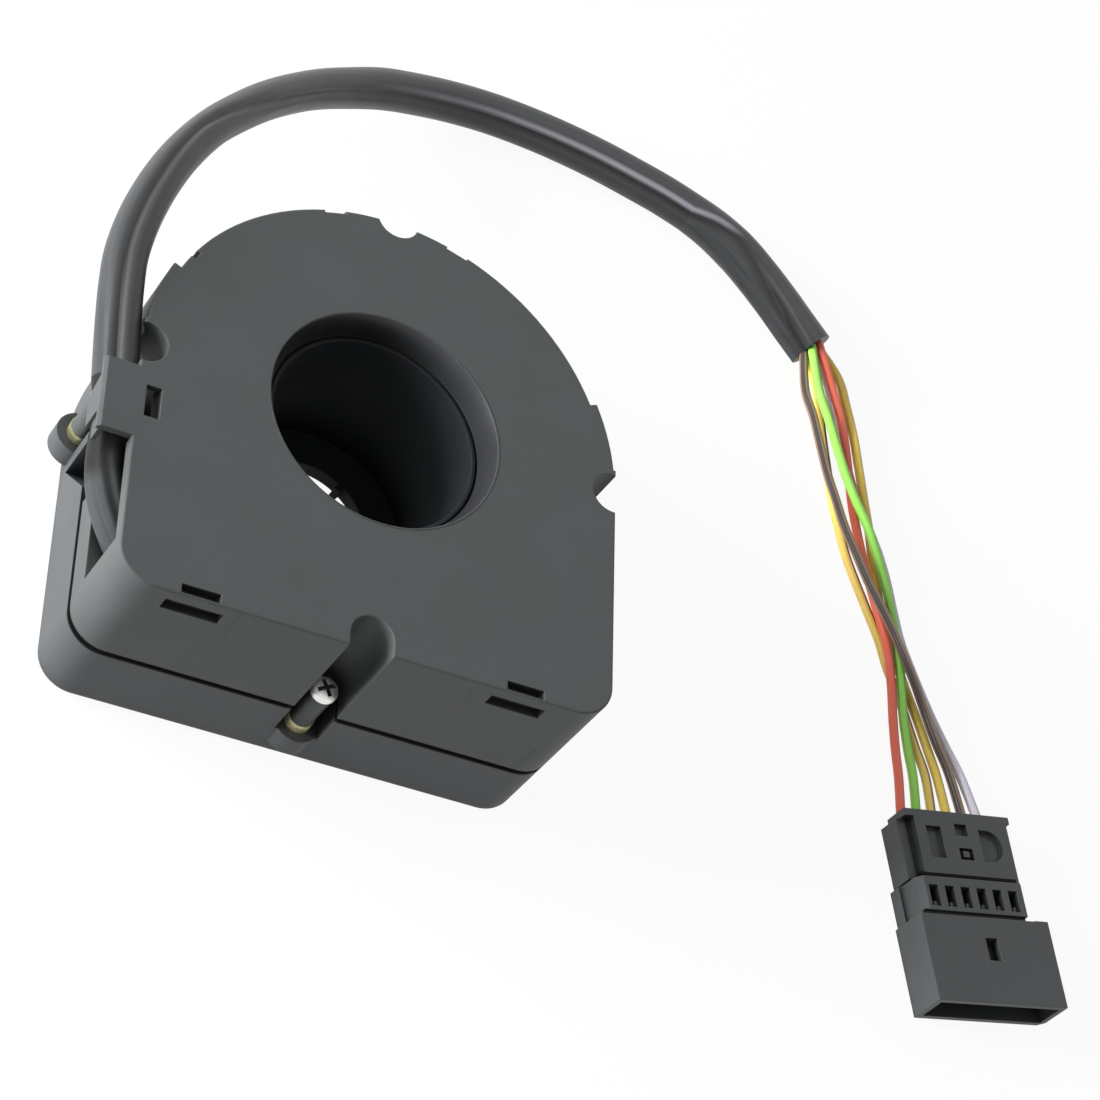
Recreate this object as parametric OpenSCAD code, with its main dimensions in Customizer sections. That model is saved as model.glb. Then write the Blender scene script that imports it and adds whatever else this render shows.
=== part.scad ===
// Steering angle sensor: a D-shaped two-part housing round a turning rotor,
// with a jacketed cable that ends in six wires and a flat connector.
// Millimetres. The origin is on the rotor axis in the plane of the back face.

/* [Housing] */
// Width across the two flat sides
body_w = 63; // [61:0.5:66]
// Radius of the round top edge
arc_r = 30.4; // [30:0.1:31]
// Distance from the rotor axis to the flat bottom wall
bottom_y = 33; // [32:0.25:36]
// Height from the back face to the front face
body_h = 27; // [26:0.5:30]
// Height of the seam between base and cover
seam_z = 11; // [10:0.5:12]
// Width of the dark groove at the seam
seam_gap = 0.85; // [0.6:0.05:1]
// Wall thickness of both mouldings
wall = 1.8; // [1.6:0.1:2.2]
// Radius of the two bottom corners in plan
corner_r = 4.8; // [4:0.2:6]
// Rounding of the base's back edge
base_edge_r = 1.3; // [1:0.1:1.8]
// Rounding of the cover's front edge
face_edge_r = 0.25; // [0.2:0.05:0.6]

/* [Bore and rotor] */
// Radius of the lip where it meets the front face
lip_r = 15.1; // [14.8:0.1:15.6]
// Radius of the lip at its narrow end
lip_throat_r = 14.1; // [14.05:0.05:14.3]
// Depth of the conical lip below the front face
lip_depth = 3.15; // [2.5:0.1:4]
// Radius of the bore through the rotor
rotor_bore_r = 13.3; // [12.8:0.1:13.4]
// Radial play between the rotor and its bearing in the base
bearing_play = 0.05; // [0.02:0.01:0.1]
// Radius of the hole in the driver plate
driver_hole_r = 8.6; // [8:0.1:10]
// Thickness of the driver plate
driver_t = 2; // [1.5:0.25:3]
// Depth of the rotor's front rim below the front face
rim_depth = 3.6; // [3.2:0.1:4.5]

/* [Screws and inserts] */
// Radius of the circle that the four screws stand on
screw_circle_r = 31.1; // [30.8:0.1:31.4]
// Radius of the channel round each screw
channel_r = 2.8; // [2.6:0.1:3]
// Radius of the post that each screw passes through
post_r = 1.6; // [1.5:0.05:1.8]
// Radius of the screw head
head_r = 1.75; // [1.65:0.05:1.9]
// Height of the screw head
head_h = 1.1; // [0.9:0.1:1.4]
// Height of the screw head's top above the seam
head_top_rise = 3.4; // [3:0.1:5]
// Radius of the screw's shank
shank_r = 1; // [0.9:0.05:1.1]
// Radius of the brass insert
insert_r = 1.75; // [1.6:0.05:2]
// Depth of the insert's top below the seam
insert_drop = 3.8; // [3.5:0.1:4.2]
// Height by which the insert stands out of its boss
insert_rise = 1.4; // [1:0.1:1.8]
// Radius of the boss round the insert
boss_r = 3; // [2.8:0.1:3.2]

/* [Cable clip and cable] */
// How far the clip stands out from the side wall
clip_out = 4.25; // [4.1:0.05:4.6]
// Length of the clip along the side wall
clip_len = 10; // [9.5:0.1:10.5]
// Distance from the rotor axis to the clip's upper end
clip_top_y = 3.7; // [3.5:0.1:4]
// Height of the plate that hangs from the clip's outer edge
plate_h = 4.6; // [4:0.1:5]
// Thickness of that plate
plate_t = 0.5; // [0.4:0.05:0.6]
// Length of the roof that reaches past the plate at its upper end
roof_over = 2.3; // [2:0.1:2.6]
// Thickness of the clip's roof
clip_roof = 0.9; // [0.6:0.05:0.9]
// Outer diameter of the cable jacket
jacket_d = 5.6; // [5:0.1:5.6]
// Outer diameter of the sleeve that ends the jacket
sleeve_d = 6.2; // [5.4:0.1:6.2]
// Outer diameter of each wire
wire_d = 1.3; // [1.1:0.05:1.3]

/* [Circuit boards] */
// Thickness of both boards
board_t = 1.6; // [1:0.2:1.6]
// Height of the main board's underside above the back face
board_z = 5; // [4.6:0.2:6]
// Gap between the main board's edge and the inner wall
board_gap = 1; // [0.8:0.1:1.5]
// Thickness of the ring board that carries the tracks
track_t = 1.2; // [0.8:0.2:1.4]

/* [Connector] */
// Width of the connector's front shroud
shroud_w = 20.4; // [20:0.2:22]
// Length of the front shroud
shroud_l = 12.2; // [11.8:0.2:13]
// Thickness of the front shroud
shroud_h = 6; // [6:0.1:7]
// Wall thickness of the shroud
shroud_wall = 0.8; // [0.7:0.1:1]
// Length of the middle part with the six windows
middle_l = 5.3; // [5:0.1:6]
// Length of the rear wire cover
rear_l = 9.8; // [9.4:0.2:11]
// Thickness of the rear wire cover
rear_h = 4.9; // [4.8:0.1:5.2]
// Distance between neighbouring contacts
contact_pitch = 2.54; // [2.5:0.01:2.6]
// Depth of the mouth that takes the mating half
mouth_l = 8.6; // [8:0.1:9.4]

/* [Hidden] */

$fn = 96;
large_fn = 180;                 // facets of the large round forms
cut = 0.1;                      // overlap that keeps a cut clean
slide_gap = 0.3;                // gap between pieces that move past each other
touch = 0.1;                    // gap between pieces that are held together

half_w = body_w / 2;
face_z = body_h;
side_top_y = 3.5;               // height up to which the sides are flat
shoulder_r = half_w - 0.1;      // slightly wider sectors beside the top arc
shoulder_angle = 24;
seam_low = seam_z - seam_gap / 2;
seam_high = seam_z + seam_gap / 2;
tongue_rise = 2;                // how far the base's tongue reaches into the cover
tongue_root = 1.5;
tongue_top = seam_z + tongue_rise;
tongue_in = 0.8;
tongue_t = 0.9;

channel_wall = 1.4;
channel_angles = [0, 90, 180, 270];
insert_top = seam_z - insert_drop;
insert_h = 5;
insert_bore_r = shank_r + 0.03;
boss_foot_z = 2.2;              // underside of the bosses, behind the back edge
boss_top = insert_top - insert_rise;
thread_l = 3.6;                 // how far each screw reaches into its insert
head_top = seam_z + head_top_rise;
head_bottom = head_top - head_h;
recess_l = 2;
recess_w = 0.44;
recess_depth = 0.6;
web_w = 2;

hub_wall = 1.3;
hub_out_r = rotor_bore_r + hub_wall;
neck_r = rotor_bore_r + 0.5;
rim_z = face_z - rim_depth;
collar_h = lip_depth + 1.45;    // height of the collar that the lip is cut in
collar_z = face_z - collar_h;
collar_wall = 2.4;
neck_z = collar_z - 0.4;
rotor_z = 0.5;
bearing_r = hub_out_r + bearing_play;
bearing_wall = 2;
bearing_top = 4.6;
thrust_w = 1.2;                 // width of the rotor's shoulder on the bearing
dog_angles = [54, 234];
dog_w = 1;
dog_reach = 0.9;                // how far each driving dog reaches into the hole
disc_z = 10;
disc_t = 1.2;
disc_r = 20.5;
disc_top = disc_z + disc_t;
wiper_t = 0.3;
wiper_w = 1.6;
wiper_foot = 2;
wiper_arm = 5;
wiper_r = 19.4;
track_z = disc_top + 1.6;
track_in_r = 18.2;
track_w = 8;
track_out_r = track_in_r + track_w;

clip_low_y = -clip_top_y - clip_len;
clip_x = -half_w - clip_out;
clip_bevel = 0.4;
plate_low_z = face_z - plate_h;
plate_slant = 1;                // how far the plate's upper end leans
plate_tail = 2.5;               // length of the plate's set back lower part
plate_step = 0.35;              // how far that part is set back
tail_rise = 1.4;                // how much higher that part ends
jacket_r = jacket_d / 2;
sleeve_r = sleeve_d / 2;
wire_r = wire_d / 2;
cable_x = -half_w - 0.5;        // the clip holds the cable half sunk into the side wall
pocket_x = cable_x + jacket_r + touch;
pocket_back_t = 1.6;
pocket_back_x = pocket_x + pocket_back_t;
pocket_roof = face_z - clip_roof;
pocket_low_z = 3.1;             // where the pocket begins beside the boss
pocket_high_y = -channel_r - channel_wall;
pocket_wall_l = -channel_r - channel_wall / 3 - clip_low_y + wall;
pocket_turn_y = -10.9;          // where the pocket's slanting edge meets the seam
pass_z = 19.5;                  // above it the cable crosses the channel's wall
pass_y = -1.9;
window_low_y = -27;
window_low_z = 15.6;

board_top = board_z + board_t;
board_posts = [[-24, -20], [24, -20], [-20, 15], [20, 15], [0, -27.2]];
board_post_r = 1.6;
pin_angles = [222, 227, 232, 308, 313, 318];
pin_r = 0.32;
pin_circle_r = track_out_r - 1.2;
capacitor_places = [[8, -27.6], [8, -24.6], [24.4, -6.6], [-24.4, -7], [-24.4, -10], [21, -19]];

snap_places = [-21.3, 19.9];    // middles of the two snap windows along the bottom wall
snap_face_l = 4.8;
snap_wall_l = 7.1;
snap_depth = 1.2;
snap_h = 2;
slot_corner = [-30.4, -10.5];   // slot in the front face beside the clip
slot_size = [1.9, 4.4];
step_angles = [74, 106.5];      // shallow steps in the round top
step_w = 3;
step_depth = 0.5;
mark_angle = 150;               // small notch in the round top
mark_w = 1.2;
mark_rise = 8;

plug_x = 99.9;
plug_y = -43.3;
plug_yaw = 11;
plug_mid_u = -0.1;              // middle of the contact row
shroud_u = -9.4;                // left edge of the shroud
mid_u = -8.6;                   // left edge of the middle part
mid_w = 16.5;
mid_rail = 0.4;                 // width of the low rails beside the middle part
mid_rail_h = 2;
mid_groove_l = 0.6;
rear_u = -8.3;                  // left edge of the rear wire cover
rear_w = 17;
rear_gap = 0.5;
rear_v = shroud_l + middle_l + rear_gap;
plug_end_v = rear_v + rear_l;
flank_w = 1.4;                  // lower flank beside the rear cover's left edge
flank_drop = 1.3;
flange_t = 1;
flange_z = 1;
flange_over = 0.6;
recess_d = 0.8;                 // depth of the recesses in the rear cover
recess_v = rear_v + 2.9;
recess_long = 4.6;
recess_short = 1.7;
contact_z = 2.4;
contact_w = 1.2;
contact_gap = 0.1;
contact_channel = contact_w + 2 * contact_gap;
contact_l = 9.6;
carrier_v = 5.2;                // where the block behind the mouth begins
carrier_side = 0.9;
carrier_z = shroud_wall + 0.7;
carrier_h = 3;
lance_window_v = 1.1;           // the windows' distance from the shroud's step
lance_window_w = 1.5;
lance_window_l = 3;
lock_u = 0.1;
lock_v = 6;
lock_w = 1.9;
lock_l = 3.2;

// Route of the free jacket, from the clip's upper end to the end sleeve
jacket_route = [
    [-33, -3.7, face_z - 4.1], [-33.5, -0.2, face_z - 3.3], [-34, 3.4, face_z - 2.4],
    [-34.4, 7.8, face_z - 1.6], [-34.4, 12.5, face_z - 1.1], [-33.5, 17.8, 26.2],
    [-31.9, 23.2, 26], [-29.8, 28.6, 25.3],
    [-27.2, 34, 24.1], [-24, 39.6, 22.5], [-20.2, 45.2, 20.3], [-16, 50.8, 17.9],
    [-11.4, 56.3, 15.1], [-6.4, 61.6, 12.2], [-1, 66.4, 9.4], [5, 70.7, 7.1],
    [11, 73.9, 5.1], [17, 76.1, 3.8], [23, 77.3, 3.1], [29, 77.5, 2.9],
    [35, 77.1, 2.9], [41, 76.3, 2.9], [47, 75.1, 2.9], [51.4, 74.1, 2.9], [55.6, 72.8, 2.9]
];

// Route of the sleeve that ends the jacket
sleeve_route = [
    [55.6, 72.8, 3.1], [59.6, 71, 3.1], [63.6, 68.3, 3.1], [67, 65.1, 3.1],
    [70.1, 61.8, 3.1], [72.9, 58.5, 3.1], [75.6, 55.4, 3.1]
];

// Route of the cable through the clip and the window to the wire header
inner_route = [
    [-33, -3.7, face_z - 4.1], [-32.1, -8, face_z - 5.2], [-32, -13.7, face_z - 6.7],
    [-30.9, -17.8, face_z - 7.8], [-28.8, -21.6, face_z - 8.6], [-26, -24.8, face_z - 9.8],
    [-22.6, -26.9, face_z - 10.6], [-19, -27.4, face_z - 10.8]
];
exit_heading = [-0.16, 0.964, 0.213];
sleeve_in_heading = [0.955, -0.295, 0];
sleeve_out_heading = [0.676, -0.737, 0];
plug_heading = [sin(plug_yaw), -cos(plug_yaw), 0];

// Where the cable rises past the cover's side wall
relief_low = [-33.1, -2.9, face_z - 3.9];
relief_high = [-34.2, 5.6, face_z - 2];
relief_play = 0.25;

// A point on the sleeve's end face, u to the side and at height z
function sleeve_face(u, z) =
    let (c = sleeve_route[len(sleeve_route) - 1])
    [c[0] - sleeve_out_heading[1] * u, c[1] + sleeve_out_heading[0] * u, z];

// The middle of contact i across the plug, and where its wire enters the plug
function contact_u(i) = plug_mid_u + (i - 2.5) * contact_pitch;
function wire_entry(i) = [
    plug_x + contact_u(i) * cos(plug_yaw) - plug_end_v * sin(plug_yaw),
    plug_y + contact_u(i) * sin(plug_yaw) + plug_end_v * cos(plug_yaw),
    contact_z
];

// Routes of the six wires, from the sleeve to the connector
red_route = [
    sleeve_face(0.78, 4.3), [78.8, 49.7, 3.3], [80.5, 45, 2.8], [81.6, 39.4, 2.3],
    [82.1, 34.5, 2.1], [82.5, 30.2, 2.1], [83.6, 24, 2.1], [84.7, 19.4, 2.1],
    [85.9, 14.8, 2.1], [87.2, 10.3, 2.1], [87.6, 6.4, 2.1], [87.8, 2.5, 2.1],
    [87.9, -2.2, 2], [88.1, -6.9, 2], [88.3, -11.3, 2.2], wire_entry(0)
];
green_route = [
    sleeve_face(-0.78, 4.3), [76.4, 48.3, 3.7], [78, 43.7, 3.5], [79.4, 38.8, 3.5],
    [80.6, 34.9, 3.5], [82.1, 31.1, 3.5], [84.2, 26.8, 3.4], [85.8, 23.1, 2.9],
    [87.3, 19.7, 2.2], [88.2, 15.5, 2.1], [88.8, 10.8, 2.1], [89.3, 6.9, 2.1],
    [89.4, 3, 2.1], [89.6, -1.7, 2], [90.1, -6.3, 2], [90.6, -10.6, 2.2],
    wire_entry(1)
];
brown_route = [
    sleeve_face(-1.56, 3), [74.8, 48.2, 2.6], [76.1, 43.9, 2.6], [77.1, 38.9, 2.7],
    [78, 34.3, 2.9], [79.1, 30.3, 3.1], [80.2, 26, 3.4], [82, 21.8, 3.5],
    [83.8, 17.8, 3.5], [85.7, 14.2, 3.6], [87.5, 10.7, 3.6], [89.1, 7.2, 3.6],
    [90.9, 3.8, 3.2], [92.7, 0.2, 2.6], [94.3, -4, 2.5], [96.3, -8.4, 2.4],
    wire_entry(4)
];
yellow_black_route = [
    sleeve_face(1.5, 3), [80.5, 52.5, 2.4], [82, 48, 2.1], [83.1, 43.1, 2],
    [83.7, 38.1, 2.1], [84.3, 32.7, 2.2], [85.1, 27.9, 2], [85.8, 24.2, 1.4],
    [86.8, 20.4, 0.7], [87.5, 16.1, 0.7], [88.6, 11.5, 0.7], [89.9, 7.4, 0.7],
    [91.3, 3.5, 0.7], [92.7, -0.4, 0.8], [93.9, -4.7, 1.1], [94.8, -9.1, 1.7],
    wire_entry(3)
];
yellow_brown_route = [
    sleeve_face(-0.78, 1.7), [77.2, 52.1, 1.2], [78.1, 47.3, 0.9], [78.7, 42.4, 0.7],
    [79.3, 37.3, 0.7], [80, 32.1, 0.7], [81, 27.3, 0.7], [82, 23.3, 0.7],
    [83.5, 19.3, 0.7], [85.1, 15.4, 0.7], [86.9, 11, 0.7], [88.1, 6.8, 0.7],
    [89.7, 3, 0.7], [90.9, -1, 0.8], [92, -5.2, 1.1], [92.9, -9.7, 1.8],
    wire_entry(2)
];
white_violet_route = [
    sleeve_face(0.78, 1.7), [79.2, 52.5, 1.2], [80.6, 47.9, 0.9], [81.8, 43.1, 0.7],
    [82.8, 38.2, 0.7], [84.1, 33.5, 0.7], [86, 29, 0.7], [87.5, 25.1, 0.7],
    [88.6, 21, 0.7], [89.4, 16.8, 0.7], [90.4, 12.1, 0.7], [91.9, 8, 0.7],
    [93.5, 4.2, 0.7], [95.2, 0.3, 0.8], [97, -3.7, 1.1], [98.6, -8, 1.8],
    wire_entry(5)
];

// Every second point of a wire's route, with both ends kept
function every_second(p) =
    [for (i = [0 : len(p) - 1]) if (i % 2 == 0 || i == len(p) - 1) p[i]];
function unit(v) = v / norm(v);
function heading(p, i, first, last) =
    (i == 0) ? first : (i == len(p) - 1) ? last : unit(p[i + 1] - p[i - 1]);
// One ring of a tube, square to its heading t at point c
function ring(c, t, r, sides) =
    let (s = unit(cross(t, [0, 0, 1])), u = cross(s, t))
    [for (k = [0 : sides - 1]) c + r * (cos(360 * k / sides) * s + sin(360 * k / sides) * u)];

// A tube swept along a route, with the heading of each end given
module swept_tube(p, r, sides, first, last) {
    n = len(p);
    points = [for (i = [0 : n - 1]) each ring(p[i], heading(p, i, first, last), r, sides)];
    sides_faces = [for (i = [0 : n - 2], k = [0 : sides - 1])
        let (a = i * sides + k, b = i * sides + (k + 1) % sides) [a, a + sides, b + sides, b]];
    start_cap = [for (k = [0 : sides - 1]) k];
    end_cap = [for (k = [sides - 1 : -1 : 0]) (n - 1) * sides + k];
    polyhedron(points, concat(sides_faces, [start_cap], [end_cap]), convexity = 8);
}

// Half section of a round block whose outer corners may be rounded
module edge_profile(r, h, low_r, high_r) {
    if (low_r + high_r == 0) {
        square([r, h]);
    } else {
        translate([0, low_r]) square([r, h - low_r - high_r]);
        square([r - max(low_r, high_r), h]);
        if (low_r > 0) translate([r - low_r, low_r]) circle(low_r);
        if (high_r > 0) translate([r - high_r, h - high_r]) circle(high_r);
    }
}

// A straight bar with the same edge as edge_profile, running along +X
module edge_bar(len, depth, h, low_r, high_r) {
    rotate([90, 0, 90]) linear_extrude(len) mirror([1, 0]) edge_profile(depth, h, low_r, high_r);
}

// The D-shaped body, drawn inwards by inset, from z0 up by h
module body_block(inset, z0, h, low_r = 0, high_r = 0) {
    r = corner_r - min(inset, corner_r - 2);
    cx = half_w - inset - r;
    cy = bottom_y - inset - r;
    translate([0, 0, z0]) {
        rotate_extrude($fn = large_fn) edge_profile(arc_r - inset, h, low_r, high_r);
        // bottom wall
        translate([-cx, -cy, 0]) edge_bar(2 * cx, r, h, low_r, high_r);
        translate([-cx, -cy, 0]) cube([2 * cx, cy + side_top_y, h]);
        for (side = [0, 1]) mirror([side, 0, 0]) {
            translate([cx, -cy, 0]) rotate_extrude() edge_profile(r, h, low_r, high_r);
            // flat side
            translate([cx, -cy, 0]) rotate([0, 0, 90])
                edge_bar(cy + side_top_y, r, h, low_r, high_r);
            // shoulder beside the top arc
            rotate_extrude(angle = shoulder_angle, $fn = large_fn)
                edge_profile(shoulder_r - inset, h, low_r, high_r);
        }
    }
}

module at_channels() {
    for (a = channel_angles) rotate([0, 0, a]) translate([screw_circle_r, 0, 0]) children();
}

// Everything that the four screw channels and their walls keep free
module channel_keep(extra, z0, h) {
    at_channels() translate([0, 0, z0]) cylinder(r = channel_r + extra, h = h);
}

// Solid side wall behind the cable, in which the pocket is cut
module pocket_wall(extra, z0) {
    translate([-half_w, clip_low_y - wall - extra, z0])
        cube([pocket_back_x + half_w + extra, pocket_wall_l + 2 * extra, body_h]);
}

// A cut in the side wall as deep as the pocket, outlined in y and z
module side_cut(points) {
    translate([-half_w - cut, 0, 0]) rotate([90, 0, 90])
        linear_extrude(pocket_x + half_w + cut) polygon(points);
}

module base_housing() {
    color([0.2, 0.21, 0.22]) difference() {
        union() {
            difference() {
                base_shell();
                open_channels(boss_top);
                side_cut([
                    [pocket_high_y, pocket_low_z], [pocket_turn_y, seam_low],
                    [pocket_turn_y, tongue_top], [pocket_high_y, tongue_top]
                ]);
            }
            // bearing for the rotor
            cylinder(r = bearing_r + bearing_wall, h = bearing_top);
            insert_bosses();
            for (p = board_posts) translate([p[0], p[1], wall - cut])
                cylinder(r = board_post_r, h = board_z - wall + cut);
        }
        translate([0, 0, -cut]) cylinder(r = bearing_r, h = body_h, $fn = large_fn);
        at_channels() translate([0, 0, insert_top - insert_h]) cylinder(r = insert_r, h = body_h);
    }
}

// The base's walls, before the channels and the pocket are cut
module base_shell() {
    difference() {
        body_block(0, 0, seam_low, base_edge_r, 0);
        difference() {
            body_block(wall, wall, seam_low);
            pocket_wall(0, wall - cut);
            channel_keep(channel_wall, wall - cut, seam_low);
        }
    }
    base_tongue();
    // back of the pocket, up to the cover
    translate([pocket_x, clip_low_y - wall, seam_low - cut])
        cube([pocket_back_t, pocket_wall_l, seam_gap + cut - touch]);
}

// Tongue on the base's rim that locates the cover
module base_tongue() {
    difference() {
        body_block(tongue_in, seam_low - tongue_root, tongue_top - seam_low + tongue_root);
        body_block(tongue_in + tongue_t, seam_low - tongue_root - cut, tongue_top);
        channel_keep(channel_wall + touch, seam_low, tongue_top);
        pocket_wall(touch, seam_low);
    }
}

// Round bosses that stand out of the channels and hold the brass inserts
module insert_bosses() {
    lead = boss_r / 6;
    at_channels() translate([0, 0, boss_foot_z]) {
        translate([0, 0, lead]) cylinder(r = boss_r, h = boss_top - boss_foot_z - lead);
        cylinder(r1 = boss_r - lead, r2 = boss_r, h = lead);
    }
}

module cover_solid() {
    difference() {
        body_block(0, seam_high, face_z - seam_high, 0, face_edge_r);
        difference() {
            body_block(wall, seam_high - cut, face_z - wall - seam_high + cut);
            channel_keep(channel_wall, seam_high - cut, body_h);
            pocket_wall(0, seam_high - cut);
            // collar round the bore
            translate([0, 0, collar_z]) cylinder(r = lip_throat_r + collar_wall, h = body_h);
        }
        // rebate for the base's tongue
        difference() {
            body_block(tongue_in - touch, seam_high - cut, tongue_top - seam_high + cut);
            channel_keep(channel_wall, seam_high - cut, body_h);
            pocket_wall(0, seam_high - cut);
        }
    }
}

// Roof of the clip that holds the cable
module clip_roof_bar() {
    inner_x = -half_w + channel_wall;
    translate([0, -clip_top_y, 0]) rotate([90, 0, 0]) linear_extrude(clip_len)
        polygon([
            [inner_x, face_z], [clip_x + clip_bevel, face_z], [clip_x, face_z - clip_bevel],
            [clip_x, pocket_roof], [inner_x, pocket_roof]
        ]);
}

// A plate that hangs from the roof's outer edge
module clip_plate(x, high_y, low_y, low_z, slant) {
    translate([x, 0, 0]) rotate([90, 0, 90]) linear_extrude(plate_t)
        polygon([
            [high_y, pocket_roof + cut], [low_y, pocket_roof + cut],
            [low_y, low_z], [high_y - slant, low_z]
        ]);
}

module cable_clip() {
    turn_y = clip_low_y + plate_tail;
    clip_roof_bar();
    clip_plate(clip_x, -clip_top_y - roof_over, turn_y, plate_low_z, plate_slant);
    clip_plate(clip_x + plate_step, turn_y + cut, clip_low_y, plate_low_z + tail_rise, 0);
}

// Pocket in the side wall that takes the cable, open to the outside
module cover_pocket() {
    side_cut([
        [clip_low_y, seam_z], [pocket_high_y, seam_z], [pocket_high_y, pass_z],
        [pass_y, pass_z], [pass_y, pocket_roof], [clip_low_y, pocket_roof]
    ]);
}

// Hollow in the side wall where the cable rises out of the clip
module cable_relief() {
    run = relief_high - relief_low;
    translate(relief_low) rotate([0, acos(run[2] / norm(run)), atan2(run[1], run[0])])
        cylinder(r = jacket_r + relief_play, h = norm(run));
}

// Window in the side wall where the cable enters the housing
module cable_window() {
    translate([-half_w - cut, window_low_y, window_low_z])
        cube([pocket_back_x + half_w + 2 * cut, clip_low_y - window_low_y + cut,
              face_z - wall - window_low_z]);
}

// Windows in the face and in the bottom wall where a snap hook shows
module snap_window(x) {
    translate([x - snap_face_l / 2, -bottom_y + face_edge_r, face_z - wall + 0.4])
        cube([snap_face_l, snap_depth, snap_h]);
    translate([x - snap_wall_l / 2, -bottom_y - cut, face_z - snap_h - wall + cut])
        cube([snap_wall_l, snap_depth + cut, snap_h]);
}

// The screw channels from z0 up, open to the outside
module open_channels(z0) {
    channel_keep(0, z0, body_h);
    at_channels() translate([0, -channel_r, z0]) cube([channel_r * 2, channel_r * 2, body_h]);
}

// Post under each screw head, held by a web from the channel's inner wall
module screw_posts() {
    at_channels() {
        translate([0, 0, insert_top]) cylinder(r = post_r, h = head_bottom - insert_top);
        translate([-channel_r - web_w / 4, -web_w / 2, seam_high])
            cube([channel_r, web_w, head_bottom - seam_high]);
    }
}

// Shallow steps and a small notch in the round top
module top_marks() {
    for (a = step_angles) rotate([0, 0, a])
        translate([arc_r - step_depth, -step_w / 2, seam_high - cut]) cube([step_w, step_w, body_h]);
    rotate([0, 0, mark_angle]) translate([arc_r - mark_w / 2, -mark_w / 2, seam_high + mark_rise])
        cube([step_w, mark_w, body_h]);
}

module front_cover() {
    color([0.24, 0.25, 0.26]) difference() {
        union() {
            difference() {
                cover_solid();
                open_channels(seam_high - cut);
                cover_pocket();
            }
            cable_clip();
            screw_posts();
        }
        // conical lip and bore
        translate([0, 0, face_z - lip_depth])
            cylinder(r1 = lip_throat_r, r2 = lip_r, h = lip_depth, $fn = large_fn);
        translate([0, 0, face_z - cut]) cylinder(r = lip_r, h = 1, $fn = large_fn);
        translate([0, 0, seam_z])
            cylinder(r = lip_throat_r, h = face_z - lip_depth - seam_z + cut, $fn = large_fn);
        cable_relief();
        cable_window();
        // screw holes
        at_channels() {
            translate([0, 0, insert_top - cut]) cylinder(r = shank_r + touch, h = body_h);
            translate([0, 0, head_bottom]) cylinder(r = head_r + touch, h = body_h);
        }
        for (x = snap_places) snap_window(x);
        translate([slot_corner[0], slot_corner[1], face_z - wall + 0.4])
            cube([slot_size[0], slot_size[1], wall]);
        top_marks();
    }
}

module housing_screws() {
    color([0.75, 0.75, 0.73]) at_channels() difference() {
        union() {
            translate([0, 0, head_bottom]) cylinder(r = head_r, h = head_h);
            translate([0, 0, insert_top - thread_l])
                cylinder(r = shank_r, h = head_bottom - insert_top + thread_l + cut);
        }
        // cross recess
        for (a = [20, 110]) rotate([0, 0, a])
            translate([-recess_l / 2, -recess_w / 2, head_top - recess_depth])
                cube([recess_l, recess_w, recess_depth + cut]);
    }
}

module threaded_inserts() {
    color([0.7, 0.66, 0.35]) at_channels() difference() {
        translate([0, 0, insert_top - insert_h]) cylinder(r = insert_r, h = insert_h);
        translate([0, 0, insert_top - thread_l - 1]) cylinder(r = insert_bore_r, h = insert_h);
    }
}

// Rotor: a tube with a driver plate at its back and a thin rim at its front
module rotor_hub() {
    color([0.12, 0.12, 0.13]) difference() {
        union() {
            translate([0, 0, rotor_z]) cylinder(r = hub_out_r, h = neck_z - rotor_z, $fn = large_fn);
            translate([0, 0, neck_z - cut])
                cylinder(r = neck_r, h = rim_z - neck_z + cut, $fn = large_fn);
            // shoulder that runs on the bearing and carries the disc
            translate([0, 0, bearing_top + slide_gap])
                cylinder(r = bearing_r + thrust_w, h = disc_z - bearing_top - slide_gap);
        }
        translate([0, 0, rotor_z + driver_t])
            cylinder(r = rotor_bore_r, h = body_h, $fn = large_fn);
        difference() {
            translate([0, 0, rotor_z - cut]) cylinder(r = driver_hole_r, h = driver_t + 2 * cut);
            for (a = dog_angles) rotate([0, 0, a])
                translate([driver_hole_r - dog_reach, -dog_w / 2, 0]) cube([dog_reach * 2, dog_w, body_h]);
        }
    }
}

// Disc on the rotor that carries the wipers
module rotor_disc() {
    color([0.85, 0.83, 0.76]) difference() {
        translate([0, 0, disc_z]) cylinder(r = disc_r, h = disc_t);
        translate([0, 0, disc_z - cut]) cylinder(r = hub_out_r, h = disc_t + 2 * cut, $fn = large_fn);
    }
}

// A sprung wiper: foot on the disc, rise, and arm with its tip under a track
module wiper(angle) {
    rise = track_z - slide_gap - disc_top;
    rotate([0, 0, angle]) translate([wiper_r - wiper_w / 2, -wiper_arm, disc_top]) {
        cube([wiper_w, wiper_foot, wiper_t]);
        translate([0, wiper_foot - wiper_t, 0]) cube([wiper_w, wiper_t, rise]);
        translate([0, wiper_foot - wiper_t, rise - wiper_t]) cube([wiper_w, wiper_arm, wiper_t]);
    }
}

module wiper_a() { color([0.8, 0.68, 0.4]) wiper(30); }
module wiper_b() { color([0.8, 0.68, 0.4]) wiper(210); }

module main_board() {
    hole_r = bearing_r + bearing_wall + board_gap;
    color([0.1, 0.35, 0.2]) difference() {
        body_block(wall + board_gap, board_z, board_t);
        channel_keep(channel_wall + board_gap, 0, body_h);
        pocket_wall(board_gap, 0);
        translate([0, 0, board_z - cut]) cylinder(r = hole_r, h = board_t + 2 * cut);
    }
}

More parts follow.
